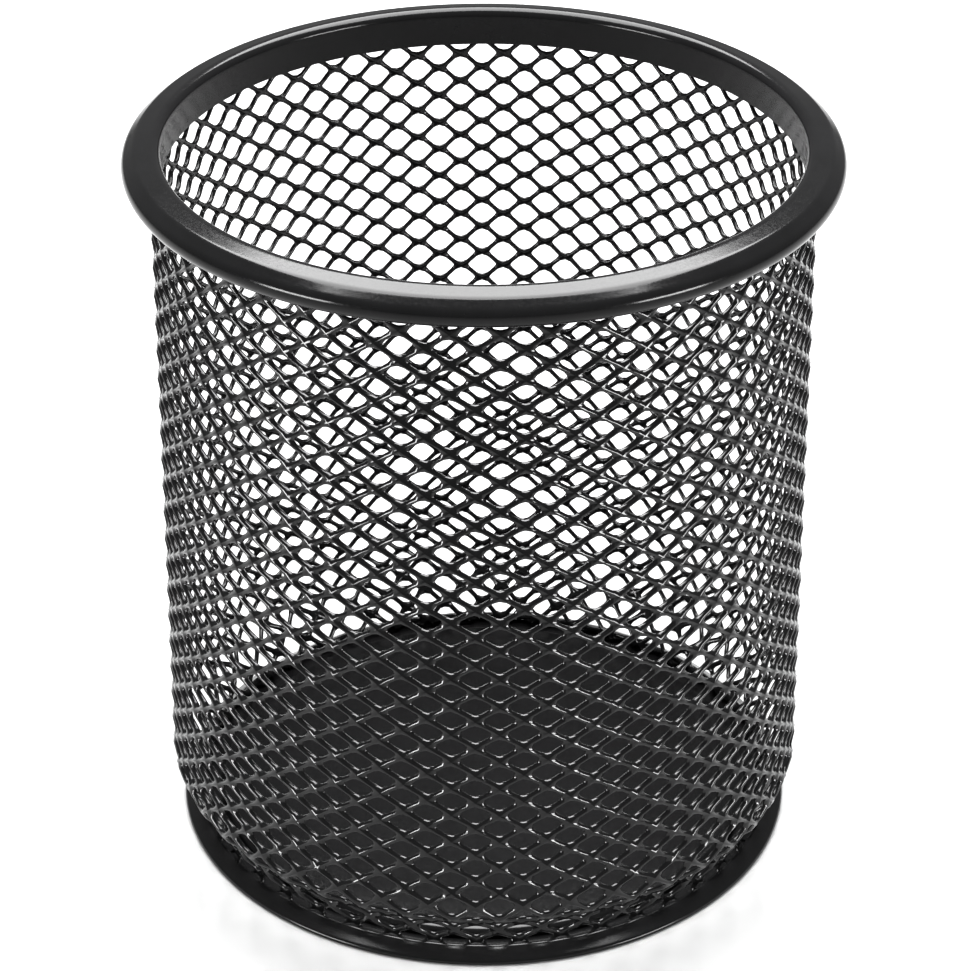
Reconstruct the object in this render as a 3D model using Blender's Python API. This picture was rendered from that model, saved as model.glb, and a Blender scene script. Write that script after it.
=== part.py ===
"""Pen holder cup: an expanded-steel mesh tube between a rolled top rim and a hemmed base pan.

Metres, +Z up, origin on the axis, in the plane that the cup stands on. The mesh is one sheet with a
plain grid of diamond openings, larger than the real ones and in the same proportion to the strands.
"""
import bpy
import bmesh
from math import asin, cos, hypot, pi, sin
from mathutils import Vector

# Overall sizes
CUP_HEIGHT = 0.0970
RIM_OUTER_RADIUS = 0.0445

# Top rim: a strip rolled into a bead with a flat inner band
RIM_STRIP = 0.0004
BEAD_DIAMETER = 0.0050
RIM_BAND_DROP = 0.0004
RIM_GRIP = 0.0031

# Mesh tube: slightly wider at the foot, then necked in and turned out into a flange
STRAND_THICKNESS = 0.0007
TUBE_FOOT_GROWTH = 0.0010
NECK_TOP_HEIGHT = 0.0082
NECK_DEPTH = 0.0060
MESH_COLUMNS = 14
TUBE_ROWS = 12
NECK_ROWS = 1
OPEN_SHARE = 0.80

# Base pan: a raised floor, a channel round it and an edge folded back over the mesh's flange
BASE_SHEET = 0.00035
FLOOR_HEIGHT = 0.0017
HEM_INSET = 0.00075
LIP_WIDTH = 0.0024

# Gap between pieces that are pressed together
SEAT_GAP = 0.0003

# Facets round the turned pieces, and along one bend of a section
RING_SEGMENTS = 64
BEND_STEPS = 4

# Looks
COAT_COLOUR = (0.018, 0.018, 0.019, 1.0)
COAT_ROUGHNESS = 0.32
COAT_METALLIC = 0.0

# The rim's bead touches the outer radius and the full height
BEAD_RADIUS = BEAD_DIAMETER / 2
BEAD_CENTRE_RADIUS = RIM_OUTER_RADIUS - BEAD_RADIUS
BEAD_CENTRE_HEIGHT = CUP_HEIGHT - BEAD_RADIUS
RIM_BOTTOM = CUP_HEIGHT - BEAD_DIAMETER - RIM_BAND_DROP

# The mesh's top edge stands in the slot beside the rim's inner band
BAND_OUTER_RADIUS = BEAD_CENTRE_RADIUS - BEAD_RADIUS + RIM_STRIP
TUBE_TOP_RADIUS = BAND_OUTER_RADIUS + SEAT_GAP + STRAND_THICKNESS / 2
TUBE_TOP_HEIGHT = RIM_BOTTOM + RIM_GRIP
TUBE_FOOT_RADIUS = TUBE_TOP_RADIUS + TUBE_FOOT_GROWTH

# The flange lies in the channel, between the base sheet and the hem's lip
FLANGE_HEIGHT = BASE_SHEET + SEAT_GAP + STRAND_THICKNESS / 2
HEM_HEIGHT = 2 * FLANGE_HEIGHT
HEM_OUTER_RADIUS = TUBE_FOOT_RADIUS - HEM_INSET
HEM_INNER_RADIUS = HEM_OUTER_RADIUS - BASE_SHEET
FLANGE_RADIUS = HEM_INNER_RADIUS - SEAT_GAP - STRAND_THICKNESS / 2
NECK_RADIUS = TUBE_FOOT_RADIUS - NECK_DEPTH
NECK_BOTTOM_HEIGHT = FLANGE_HEIGHT + STRAND_THICKNESS
FLOOR_RADIUS = NECK_RADIUS - STRAND_THICKNESS / 2 - SEAT_GAP


def clear_scene():
    for item in list(bpy.data.objects):
        bpy.data.objects.remove(item, do_unlink=True)


def coated_steel(name):
    material = bpy.data.materials.new(name)
    material.use_nodes = True
    shader = material.node_tree.nodes["Principled BSDF"]
    shader.inputs["Base Color"].default_value = COAT_COLOUR
    shader.inputs["Roughness"].default_value = COAT_ROUGHNESS
    shader.inputs["Metallic"].default_value = COAT_METALLIC
    return material


def add_piece(name, bm):
    """Turn a closed bmesh into one named, smooth-shaded object with its own coat."""
    bmesh.ops.recalc_face_normals(bm, faces=bm.faces)
    mesh = bpy.data.meshes.new(name)
    bm.to_mesh(mesh)
    bm.free()
    mesh.shade_smooth()
    mesh.set_sharp_from_angle(angle=pi / 5)
    mesh.materials.append(coated_steel(name + "_coat"))
    piece = bpy.data.objects.new(name, mesh)
    bpy.context.collection.objects.link(piece)
    return piece


def bend(centre_radius, centre_height, radius, start, end):
    """Points (radius, height) along an arc of a section, angles in radians from outwards."""
    points = []
    for k in range(BEND_STEPS + 1):
        angle = start + (end - start) * k / BEND_STEPS
        points.append((centre_radius + radius * cos(angle), centre_height + radius * sin(angle)))
    return points


def add_ring(bm, radius, height, count):
    """One level ring of vertices; a ring of no radius is one vertex, counted again and again."""
    if radius == 0.0:
        return [bm.verts.new((0.0, 0.0, height))] * count
    ring = []
    for k in range(count):
        angle = 2 * pi * k / count
        ring.append(bm.verts.new((radius * sin(angle), -radius * cos(angle), height)))
    return ring


def join_rings(bm, lower, upper):
    """Faces between two rings of vertices, triangles where a ring is one vertex."""
    count = len(lower)
    for k in range(count):
        n = (k + 1) % count
        corners = list(dict.fromkeys((lower[k], lower[n], upper[n], upper[k])))
        if len(corners) > 2:
            bm.faces.new(corners)


def turn(section):
    """Turn a closed section (radius, height) about Z."""
    bm = bmesh.new()
    rings = [add_ring(bm, radius, height, RING_SEGMENTS) for radius, height in section]
    for lower, upper in zip(rings, rings[1:] + rings[:1]):
        join_rings(bm, lower, upper)
    return bm


def make_top_rim():
    """Strip section: flat inner band, over the bead, round and back under to the mesh."""
    mouth = BEAD_CENTRE_RADIUS - (TUBE_TOP_RADIUS + STRAND_THICKNESS / 2 + SEAT_GAP)
    inner_bead = BEAD_RADIUS - RIM_STRIP
    outer_end = -pi / 2 - asin(mouth / BEAD_RADIUS)
    inner_end = -pi / 2 - asin(mouth / inner_bead)
    centre = (BEAD_CENTRE_RADIUS, BEAD_CENTRE_HEIGHT)
    outer = bend(*centre, BEAD_RADIUS, pi, pi / 2)
    outer += bend(*centre, BEAD_RADIUS, pi / 2, 0.0)[1:]
    outer += bend(*centre, BEAD_RADIUS, 0.0, outer_end)[1:]
    inner = bend(*centre, inner_bead, inner_end, 0.0)
    inner += bend(*centre, inner_bead, 0.0, pi)[1:]
    band_foot = [(BAND_OUTER_RADIUS, RIM_BOTTOM), (BAND_OUTER_RADIUS - RIM_STRIP, RIM_BOTTOM)]
    return add_piece("top_rim", turn(outer + inner + band_foot))


def mesh_path():
    """Middle of the sheet (radius, height): down the tube, in round the neck, out along the flange."""
    corners = [(TUBE_TOP_RADIUS, TUBE_TOP_HEIGHT), (TUBE_FOOT_RADIUS, NECK_TOP_HEIGHT)]
    corners.append((NECK_RADIUS, NECK_BOTTOM_HEIGHT))
    path = corners[:1]
    for start, end, rows in zip(corners, corners[1:], (TUBE_ROWS, NECK_ROWS)):
        for k in range(1, rows + 1):
            share = k / rows
            path.append((start[0] + (end[0] - start[0]) * share, start[1] + (end[1] - start[1]) * share))
    path.append((NECK_RADIUS, FLANGE_HEIGHT))
    path.append((FLANGE_RADIUS, FLANGE_HEIGHT))
    return path


def mitres(path):
    """At each point of a path, the step that moves both of its legs outwards by one unit."""
    legs = []
    for (r0, z0), (r1, z1) in zip(path, path[1:]):
        length = hypot(r1 - r0, z1 - z0)
        legs.append(((z0 - z1) / length, (r1 - r0) / length))
    steps = []
    for before, after in zip(legs[:1] + legs, legs + legs[-1:]):
        share = 1 + before[0] * after[0] + before[1] * after[1]
        steps.append(((before[0] + after[0]) / share, (before[1] + after[1]) / share))
    return steps


def skin_points(side, count):
    """Points (column, row) of the sheet's outer skin, side 1, or its inner skin, side -1."""
    points = {}
    path = mesh_path()
    for j, ((radius, height), (out, up)) in enumerate(zip(path, mitres(path))):
        offset = side * STRAND_THICKNESS / 2
        r = radius + out * offset
        for i in range(count):
            angle = 2 * pi * i / count
            points[i, j] = Vector((r * sin(angle), -r * cos(angle), height + up * offset))
    return points


def make_mesh_wall():
    """Bonds and cell middles by turns on each row. A cell is the diamond between its four bonds, with
    an opening in the tube and the neck, and plain along the sheet's edges and the flange."""
    bm = bmesh.new()
    count = 2 * MESH_COLUMNS
    last_row = TUBE_ROWS + NECK_ROWS
    skins = [skin_points(side, count) for side in (1, -1)]
    verts = [{}, {}]

    def vert(skin, place):
        if place not in verts[skin]:
            verts[skin][place] = bm.verts.new(skins[skin][place])
        return verts[skin][place]

    for i, j in skins[0]:
        if (i + j) % 2 == 1:
            continue
        bonds = [((i + 1) % count, j), (i, j + 1), ((i - 1) % count, j), (i, j - 1)]
        is_open = 0 < j < last_row
        holes = []
        for skin in (0, 1):
            middle = skins[skin][i, j]
            if is_open:
                holes.append([bm.verts.new(middle.lerp(skins[skin][bond], OPEN_SHARE)) for bond in bonds])
            for k in range(4):
                n = (k + 1) % 4
                if bonds[k] not in skins[skin] or bonds[n] not in skins[skin]:
                    continue
                ends = [vert(skin, bonds[k]), vert(skin, bonds[n])]
                bm.faces.new(ends + ([holes[skin][n], holes[skin][k]] if is_open else [vert(skin, (i, j))]))
        if is_open:
            join_rings(bm, holes[0], holes[1])
    for row in (0, last_row + 2):
        edges = [[verts[skin][i, row] for i in range(count)] for skin in (0, 1)]
        join_rings(bm, edges[0], edges[1])
    return add_piece("mesh_wall", bm)


def make_base_pan():
    """Raised floor, step down to the channel, half-round fold and the lip over the flange."""
    fold_radius = HEM_HEIGHT / 2
    fold_centre = HEM_OUTER_RADIUS - fold_radius
    lip_edge = HEM_OUTER_RADIUS - LIP_WIDTH
    step_radius = FLOOR_RADIUS - BASE_SHEET
    underside = [(0.0, FLOOR_HEIGHT - BASE_SHEET), (step_radius - BASE_SHEET, FLOOR_HEIGHT - BASE_SHEET)]
    underside.append((step_radius, 0.0))
    outer = bend(fold_centre, fold_radius, fold_radius, -pi / 2, pi / 2)
    lip = [(lip_edge, HEM_HEIGHT), (lip_edge, HEM_HEIGHT - BASE_SHEET)]
    inner = bend(fold_centre, fold_radius, fold_radius - BASE_SHEET, pi / 2, -pi / 2)
    topside = [(FLOOR_RADIUS, BASE_SHEET)]
    topside += bend(FLOOR_RADIUS - BASE_SHEET, FLOOR_HEIGHT - BASE_SHEET, BASE_SHEET, 0.0, pi / 2)
    topside.append((0.0, FLOOR_HEIGHT))
    return add_piece("base_pan", turn(underside + outer + lip + inner + topside))


clear_scene()
make_top_rim()
make_mesh_wall()
make_base_pan()
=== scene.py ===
from math import pi, radians

import bpy
import numpy as np
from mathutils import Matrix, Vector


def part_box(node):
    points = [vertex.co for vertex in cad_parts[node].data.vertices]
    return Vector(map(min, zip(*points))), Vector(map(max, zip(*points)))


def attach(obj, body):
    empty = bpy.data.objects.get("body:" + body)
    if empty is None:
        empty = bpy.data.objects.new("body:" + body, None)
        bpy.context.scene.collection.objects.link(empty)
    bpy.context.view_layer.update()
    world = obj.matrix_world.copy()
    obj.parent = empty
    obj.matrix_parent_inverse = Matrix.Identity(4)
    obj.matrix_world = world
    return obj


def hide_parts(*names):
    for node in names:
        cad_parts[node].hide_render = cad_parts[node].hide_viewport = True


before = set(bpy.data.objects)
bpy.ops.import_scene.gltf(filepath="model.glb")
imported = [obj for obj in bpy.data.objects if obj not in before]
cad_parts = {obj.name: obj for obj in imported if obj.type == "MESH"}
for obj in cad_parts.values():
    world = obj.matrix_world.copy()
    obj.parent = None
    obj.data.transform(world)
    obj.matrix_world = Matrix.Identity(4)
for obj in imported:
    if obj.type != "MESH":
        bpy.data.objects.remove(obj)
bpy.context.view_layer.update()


# Top rim
# A strip of sheet steel rolled into a flattened bead outside, whose sloping top turns down into a
# flat band inside. It is crimped over the mesh's top edge and black powder coated.
rim_low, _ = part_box("top_rim")
rim_segments = 320
strip = 0.0004
band_radius = 0.0395
rim_corners = [(0.0412, 0.0933), (0.0422, 0.09265), (0.04385, 0.09278), (0.04482, 0.0945),
               (0.0428, 0.0961), (band_radius, 0.09675), (band_radius, rim_low[2])]
rim_bends = [0.0007, 0.0010, 0.0015, 0.0009, 0.0011]
rim_spacing = 0.0002
bend_points = 24
weld_steps_per_metre = 1e7
crease_angle = radians(68)


def turned(section, segments):
    """A closed section of (radius, height) points, the same all round or one for each angle,
    carried round Z: its point at angle a stands at (r sin a, -r cos a, z)."""
    angle = np.arange(segments) * 2 * pi / segments
    section = section.reshape(len(section), -1, 2)
    r, z = np.broadcast_to(section, (len(section), segments, 2)).transpose(2, 0, 1)
    points = np.stack([r * np.sin(angle), -r * np.cos(angle), z], axis=2)
    index = np.arange(points.size // 3).reshape(-1, segments)
    beside = np.roll(index, -1, axis=1)
    after = np.roll(index, -1, axis=0)
    quads = np.stack([index, beside, np.roll(beside, -1, axis=0), after], axis=2)
    return points.reshape(-1, 3), quads.reshape(-1, 4)


def powder_coat(name, grain, roughness, lift, shine):
    """Black polyester powder on steel: a fine orange peel in bump and gloss, on a near-black
    ground whose value drifts a little over a few millimetres."""
    material = bpy.data.materials.new(name)
    material.use_nodes = True
    nodes = material.node_tree.nodes
    links = material.node_tree.links
    shader = nodes["Principled BSDF"]
    shader.inputs["Metallic"].default_value = 0.0
    shader.inputs["IOR"].default_value = 1.5
    shader.inputs["Specular IOR Level"].default_value = shine
    where = nodes.new("ShaderNodeTexCoord")

    peel = nodes.new("ShaderNodeTexNoise")
    peel.inputs["Scale"].default_value = grain
    peel.inputs["Detail"].default_value = 3.0
    peel.inputs["Roughness"].default_value = 0.55
    links.new(where.outputs["Object"], peel.inputs["Vector"])

    drift = nodes.new("ShaderNodeTexNoise")
    drift.inputs["Scale"].default_value = 190.0
    drift.inputs["Detail"].default_value = 2.0
    links.new(where.outputs["Object"], drift.inputs["Vector"])

    ground = nodes.new("ShaderNodeMix")
    ground.data_type = "RGBA"
    ground.inputs["A"].default_value = (0.0031, 0.0031, 0.0032, 1.0)
    ground.inputs["B"].default_value = (0.0053, 0.0053, 0.0055, 1.0)
    links.new(drift.outputs["Fac"], ground.inputs["Factor"])
    links.new(ground.outputs["Result"], shader.inputs["Base Color"])

    gloss = nodes.new("ShaderNodeMapRange")
    gloss.inputs["From Min"].default_value = 0.3
    gloss.inputs["From Max"].default_value = 0.7
    gloss.inputs["To Min"].default_value = roughness - 0.04
    gloss.inputs["To Max"].default_value = roughness + 0.04
    links.new(peel.outputs["Fac"], gloss.inputs["Value"])
    links.new(gloss.outputs["Result"], shader.inputs["Roughness"])

    bump = nodes.new("ShaderNodeBump")
    bump.inputs["Strength"].default_value = lift
    bump.inputs["Distance"].default_value = 0.00006
    links.new(peel.outputs["Fac"], bump.inputs["Height"])
    links.new(bump.outputs["Normal"], shader.inputs["Normal"])
    return material


def welded(points, quads):
    """Points that fall together, on a seam or a pole, become one; a quad with two corners on one
    point becomes a triangle, and one with less is dropped."""
    key = np.round(points * weld_steps_per_metre).astype(np.int64)
    _, first, place = np.unique(key, axis=0, return_index=True, return_inverse=True)
    quads = place.reshape(-1)[quads]
    same = quads == np.roll(quads, -1, axis=1)
    whole = quads[~same.any(axis=1)]
    thin = quads[same.sum(axis=1) == 1]
    kept = ~(thin == np.roll(thin, -1, axis=1))
    return points[first], whole.tolist() + thin[kept].reshape(-1, 3).tolist()


def add_piece(name, points, quads, node, coat):
    """One closed, smooth-shaded steel piece at the origin, in place of its CAD node."""
    points, faces = welded(points, quads)
    mesh = bpy.data.meshes.new(name)
    mesh.from_pydata(points.tolist(), [], faces)
    mesh.shade_smooth()
    mesh.set_sharp_from_angle(angle=crease_angle)
    mesh.materials.append(coat)
    piece = bpy.data.objects.new(name, mesh)
    bpy.context.scene.collection.objects.link(piece)
    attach(piece, "root")
    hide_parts(node)


def rounded_path(corners, bends, spacing):
    """A run of straight legs through corners, each inner corner rounded by an arc that touches
    both legs; points at equal steps of length along it, and the length at each."""
    corners = np.array(corners)
    pieces = [corners[:1]]
    for before, corner, after, bend in zip(corners, corners[1:], corners[2:], bends):
        toward = (before - corner) / np.linalg.norm(before - corner)
        away = (after - corner) / np.linalg.norm(after - corner)
        half = np.arccos(np.clip(toward @ away, -1, 1)) / 2
        middle = (toward + away) / np.linalg.norm(toward + away)
        centre = corner + middle * bend / np.sin(half)
        start = corner + toward * bend / np.tan(half) - centre
        end = corner + away * bend / np.tan(half) - centre
        share = np.linspace(0, 1, bend_points)[:, None]
        swing = pi - 2 * half
        turning = np.sin((1 - share) * swing) * start + np.sin(share * swing) * end
        pieces.append(centre + turning / np.sin(swing))
    pieces.append(corners[-1:])
    path = np.concatenate(pieces)
    length = np.concatenate([[0], np.cumsum(np.linalg.norm(np.diff(path, axis=0), axis=1))])
    along = np.arange(0, length[-1], spacing)
    return np.stack([np.interp(along, length, path[:, k]) for k in (0, 1)], axis=1), along


def normals_beside(path, along):
    """The unit vector to the right of a path at each of its points, square to its direction."""
    forward = np.gradient(path, along, axis=0)
    forward /= np.linalg.norm(forward, axis=1, keepdims=True)
    return np.stack([forward[:, 1], -forward[:, 0]], axis=1)


def rim_section():
    """From the bead's tip at the mesh out round the bead, over its shoulder, across the top and
    down the band's inner face; then back along the strip's other side, one thickness in."""
    path, along = rounded_path(rim_corners, rim_bends, rim_spacing)
    return np.concatenate([path, (path - strip * normals_beside(path, along))[::-1]])


rim_points, rim_faces = turned(rim_section(), rim_segments)
add_piece("top_rim_bead", rim_points, rim_faces, "top_rim",
          powder_coat("rim_powder_coat", grain=2600.0, roughness=0.14, lift=0.06, shine=0.16))


# Mesh wall
# One sheet of expanded steel: slit and stretched into diamond cells, so that each bond between
# two cells leans back like a louvre. It is rolled into a tube, necked in at the foot and turned
# out again into a flange, and coated with the rest.
columns = 88
top_row = -44
tube_foot_row = -1
flange_row = 4
strand_start = 0.27
strand_turn = np.linspace(pi / 2, -pi / 2, 5)
column_step = 2 * pi / columns
first_column = 0.04655
row_step = 0.0019885
first_bond_height = 0.0081
hole_quarter = [(0.00192, 0.0), (0.00160, 0.00045), (0.00071, 0.00120), (0.0, 0.00134)]
sheet_depth = 0.00076
lean = 0.46
tube_top = (0.040533, 0.0962)
rim_grip_height = 0.0920
rim_press = 0.60
tube_foot = (0.04155, 0.0082)
neck_end = (0.0391, 0.0056)
foot_fold = (0.0375, 0.0010)
flange_edge = (0.0398, 0.0010)
tube_slant = np.hypot(1, (tube_foot[0] - tube_top[0]) / (tube_top[1] - tube_foot[1]))
neck_stretch = 0.00036
front_sag = 0.00135
front_sag_from = 0.040
front_sag_over = 0.0423
back_turn = 0.0205
back_rise = 0.00013
back_rise_over = 0.02
rim_fade_rows = 4
hem_fade_rows = 1.5
pressed_share = 0.5
wall_corners = [tube_top, tube_foot, neck_end, foot_fold, flange_edge]
wall_bends = [0.0012, 0.0020, 0.0006]
wall_spacing = 0.00005

wall_path, wall_length = rounded_path(wall_corners, wall_bends, wall_spacing)
wall_normal = -normals_beside(wall_path, wall_length)


def cell_ring():
    """Twelve points round a cell's hole, mirrored from a quarter of it, and the twelve points of
    the bonds' and strands' middle line that they face, both in cell half-sizes."""
    half = np.array([column_step * tube_foot[0], row_step])
    share = np.array([0, strand_start, 1 - strand_start, 1])[:, None]
    line = np.concatenate([1 - share, share], axis=1)
    quarter = np.concatenate([np.array(hole_quarter) / half, line], axis=1)
    upper = np.concatenate([quarter, quarter[-2::-1] * np.array([-1, 1, -1, 1])])
    ring = np.concatenate([upper, upper[-2:0:-1] * np.array([1, -1, 1, -1])])
    return ring[:, :2], ring[:, 2:]


def mesh_cells(first_row, last_row):
    """Places (column, row, outward) round the cells of some rows. From the outer middle line of the
    strands the surface runs over their edge in the hole to the inner middle line, as half an oval.
    Each bond leans in above its middle and out below it, by a sine of the row times a cosine of the
    column. The sheet is pressed flat in the rim and the hem."""
    hole, line = cell_ring()
    row, column = np.meshgrid(np.arange(first_row, last_row), np.arange(columns), indexing="ij")
    is_hole = (row + column) % 2 == 1
    row = row[is_hole][:, None, None]
    column = column[is_hole][:, None, None]
    over = (hole - line)[:, :, None] * np.cos(strand_turn)
    at_column = column + line[:, :1] + over[:, 0]
    at_row = row - line[:, 1:] - over[:, 1]
    free = np.clip((at_row - top_row) / rim_fade_rows, 0, 1)
    free = free * np.clip((flange_row - at_row) / hem_fade_rows, 0, 1)
    louvre = lean * row_step / pi * np.sin(pi * at_row) * np.cos(pi * at_column)
    depth = sheet_depth / 2 * (pressed_share + (1 - pressed_share) * free)
    return at_column, at_row, louvre * free + np.sin(strand_turn) * depth


def place_on_wall(at_column, at_row, outward):
    """Lattice places to points: columns count round the cup from the front, rows count down the
    wall's path from the first bond row above the neck. The rows lie further apart in the neck.
    By one minus the cosine of the angle from the front, the mesh is turned and raised towards the
    back; by one plus it, the upper rows sag towards the front. The rim presses the rows closer."""
    theta = first_column + at_column * column_step
    theta = theta - back_turn * (1 - np.cos(theta))
    start = tube_slant * (tube_top[1] - first_bond_height)
    neck_rows = np.clip(at_row - tube_foot_row, 0, flange_row - tube_foot_row)
    along = start + at_row * row_step + neck_stretch * neck_rows
    raised = np.clip((start - along) / back_rise_over, 0, 1)
    along = along - back_rise * (1 - np.cos(theta)) * raised
    above = np.maximum((start - along - front_sag_from) / front_sag_over, 0)
    along = along + front_sag * above * (1 + np.cos(theta)) / 2
    grip = tube_slant * (tube_top[1] - rim_grip_height)
    along = np.where(along < grip, grip + (along - grip) * rim_press, along)
    r = np.interp(along, wall_length, wall_path[:, 0])
    z = np.interp(along, wall_length, wall_path[:, 1])
    out_r = np.interp(along, wall_length, wall_normal[:, 0])
    out_z = np.interp(along, wall_length, wall_normal[:, 1])
    r = r + outward * out_r
    return np.stack([r * np.sin(theta), -r * np.cos(theta), z + outward * out_z], axis=-1)


def mesh_faces(cells_per_row, cells, ring, steps):
    """Quads round each cell, and ribbons that close the sheet's cut edge along the upper half of
    the first row of cells and the lower half of the last."""
    index = np.arange(cells * ring * steps).reshape(cells, ring, steps)
    beside = np.roll(index, -1, axis=1)
    skin = np.stack([index[:, :, :-1], beside[:, :, :-1],
                     beside[:, :, 1:], index[:, :, 1:]], axis=-1)
    ribbon = np.stack([index[:, :, 0], index[:, :, -1],
                       beside[:, :, -1], beside[:, :, 0]], axis=-1)
    top = ribbon[:cells_per_row, :ring // 2]
    foot = ribbon[-cells_per_row:, ring // 2:]
    return np.concatenate([skin.reshape(-1, 4), top.reshape(-1, 4), foot.reshape(-1, 4)])


def add_mesh(name, first_row, last_row, coat):
    """Some rows of the mesh as one piece."""
    places = mesh_cells(first_row, last_row)
    points = place_on_wall(*places).reshape(-1, 3)
    faces = mesh_faces(columns // 2, *places[1].shape)
    add_piece(name, points, faces, "mesh_wall", coat)


mesh_coat = powder_coat("mesh_powder_coat", grain=3200.0, roughness=0.13, lift=0.05, shine=0.28)
add_mesh("mesh_tube", top_row, tube_foot_row, mesh_coat)
add_mesh("mesh_neck", tube_foot_row, flange_row, mesh_coat)


# Base pan
# A pressed disc of sheet steel: a raised floor, a channel round it for the mesh's flange, and the
# edge folded up and back over the flange into a flat hem. The lip follows the strands beneath it.
base_low, base_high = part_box("base_pan")
base_sheet = 0.00035
floor_height = 0.0017
floor_radius = 0.0358
floor_rings = [0.0, 0.012, 0.028]
floor_bend = 0.0010
floor_bend_points = 8
under_bend_points = 6
hem_side = 0.0006
lip_from = 0.0015
hem_corners = [(0.0388, base_low[2]), (base_high[0], base_low[2]), (base_high[0], hem_side),
               (0.03855, base_high[2]), (0.03842, lip_from)]
hem_bends = [0.0003, 0.0005, 0.0004]
hem_spacing = 0.00012
lip_ripple = (0.00014, 0.00008)
base_segments = 528


def arc(centre, radius, start, end, count):
    """Points (radius, height) on a circle about a centre, from one angle to another, both kept."""
    angle = np.linspace(start, end, count)
    return np.array(centre) + radius * np.stack([np.cos(angle), np.sin(angle)], axis=1)


def base_section():
    """Out along the underside, round the hem and in along the lip, then back under the lip and
    over the channel up to the floor; both ends stand on the axis."""
    underside = floor_height - base_sheet
    step_radius = floor_radius - base_sheet
    under_centre = (step_radius - floor_bend, underside - floor_bend)
    over_centre = (floor_radius - floor_bend, floor_height - floor_bend)
    under = [(r, underside) for r in floor_rings]
    over = [(r, floor_height) for r in reversed(floor_rings)]
    under_bend = arc(under_centre, floor_bend, pi / 2, 0.0, under_bend_points)
    over_bend = arc(over_centre, floor_bend, 0.0, pi / 2, floor_bend_points)
    hem, along = rounded_path(hem_corners, hem_bends, hem_spacing)
    inner = (hem - base_sheet * normals_beside(hem, along))[::-1]
    return np.concatenate([under, under_bend, [(step_radius, base_low[2])], hem, inner,
                           [(floor_radius, base_sheet)], over_bend, over])


def rippled(section, segments):
    """The section at each angle round the pan: the lip rises and falls in a cosine over the bonds
    of the flange beneath it, fading out towards the hem."""
    angle = np.arange(segments) * 2 * pi / segments
    in_hem = section[:, 0] > hem_corners[0][0] - base_sheet
    share = in_hem * np.clip((section[:, 1] - lip_from) / (base_high[2] - lip_from), 0, 1)
    wave = -np.cos(columns / 2 * (angle - first_column))
    return section[:, None] + (share[:, None] * wave)[:, :, None] * np.array(lip_ripple)


base_points, base_faces = turned(rippled(base_section(), base_segments), base_segments)
add_piece("base_pan_disc", base_points, base_faces, "base_pan",
          powder_coat("base_powder_coat", grain=2600.0, roughness=0.17, lift=0.03, shine=0.20))


# Studio
# A pale paper floor, a large soft light overhead, a low strip light on either side in front, and
# the camera at the photograph's angle.
floor_reach = 3.0
floor_corners = [(-floor_reach, -floor_reach, 0), (floor_reach, -floor_reach, 0),
                 (floor_reach, floor_reach, 0), (-floor_reach, floor_reach, 0)]
strip_angle = radians(56)
camera_look_down = 30.639
floor_mesh = bpy.data.meshes.new("studio_floor")
floor_mesh.from_pydata(floor_corners, [], [(0, 1, 2, 3)])
studio_floor = bpy.data.objects.new("studio_floor", floor_mesh)
bpy.context.scene.collection.objects.link(studio_floor)
paper = bpy.data.materials.new("studio_paper")
paper.use_nodes = True
paper_shader = paper.node_tree.nodes["Principled BSDF"]
paper_shader.inputs["Base Color"].default_value = (0.36, 0.36, 0.36, 1.0)
paper_shader.inputs["Roughness"].default_value = 0.9
paper_shader.inputs["Specular IOR Level"].default_value = 0.0
floor_mesh.materials.append(paper)

world = bpy.data.worlds.new("studio_air")
bpy.context.scene.world = world
world.use_nodes = True
world.node_tree.nodes["Background"].inputs["Color"].default_value = (0.24, 0.24, 0.24, 1.0)


def softbox(name, place, turn, size, radiance):
    """A rectangular soft light of even radiance: its power is pi times area times radiance."""
    light = bpy.data.lights.new(name, "AREA")
    light.shape = "RECTANGLE"
    light.size = size[0]
    light.size_y = size[1]
    light.energy = pi * size[0] * size[1] * radiance
    lamp = bpy.data.objects.new(name, light)
    lamp.location = place
    lamp.rotation_euler = turn
    bpy.context.scene.collection.objects.link(lamp)


softbox("overhead_softbox", place=(0.0, 0.215, 0.6), turn=(0.0, 0.0, 0.0),
        size=(0.60, 0.63), radiance=23.0)
for side in (-1, 1):
    softbox("side_strip", place=(0.995 * side, -0.67, 0.13),
            turn=(radians(90), 0.0, strip_angle * side), size=(0.46, 0.19), radiance=50.0)

camera_data = bpy.data.cameras.new("photo_camera")
camera_data.sensor_fit = "HORIZONTAL"
camera_data.sensor_width = 36.0
camera_data.lens = 121.46
camera_data.shift_x = 0.0012
camera = bpy.data.objects.new("photo_camera", camera_data)
camera.location = (0.0, -0.3663, 0.2635)
camera.rotation_euler = (radians(90 - camera_look_down), 0.0, 0.0)
bpy.context.scene.collection.objects.link(camera)
bpy.context.scene.camera = camera
bpy.context.scene.view_settings.view_transform = "Standard"
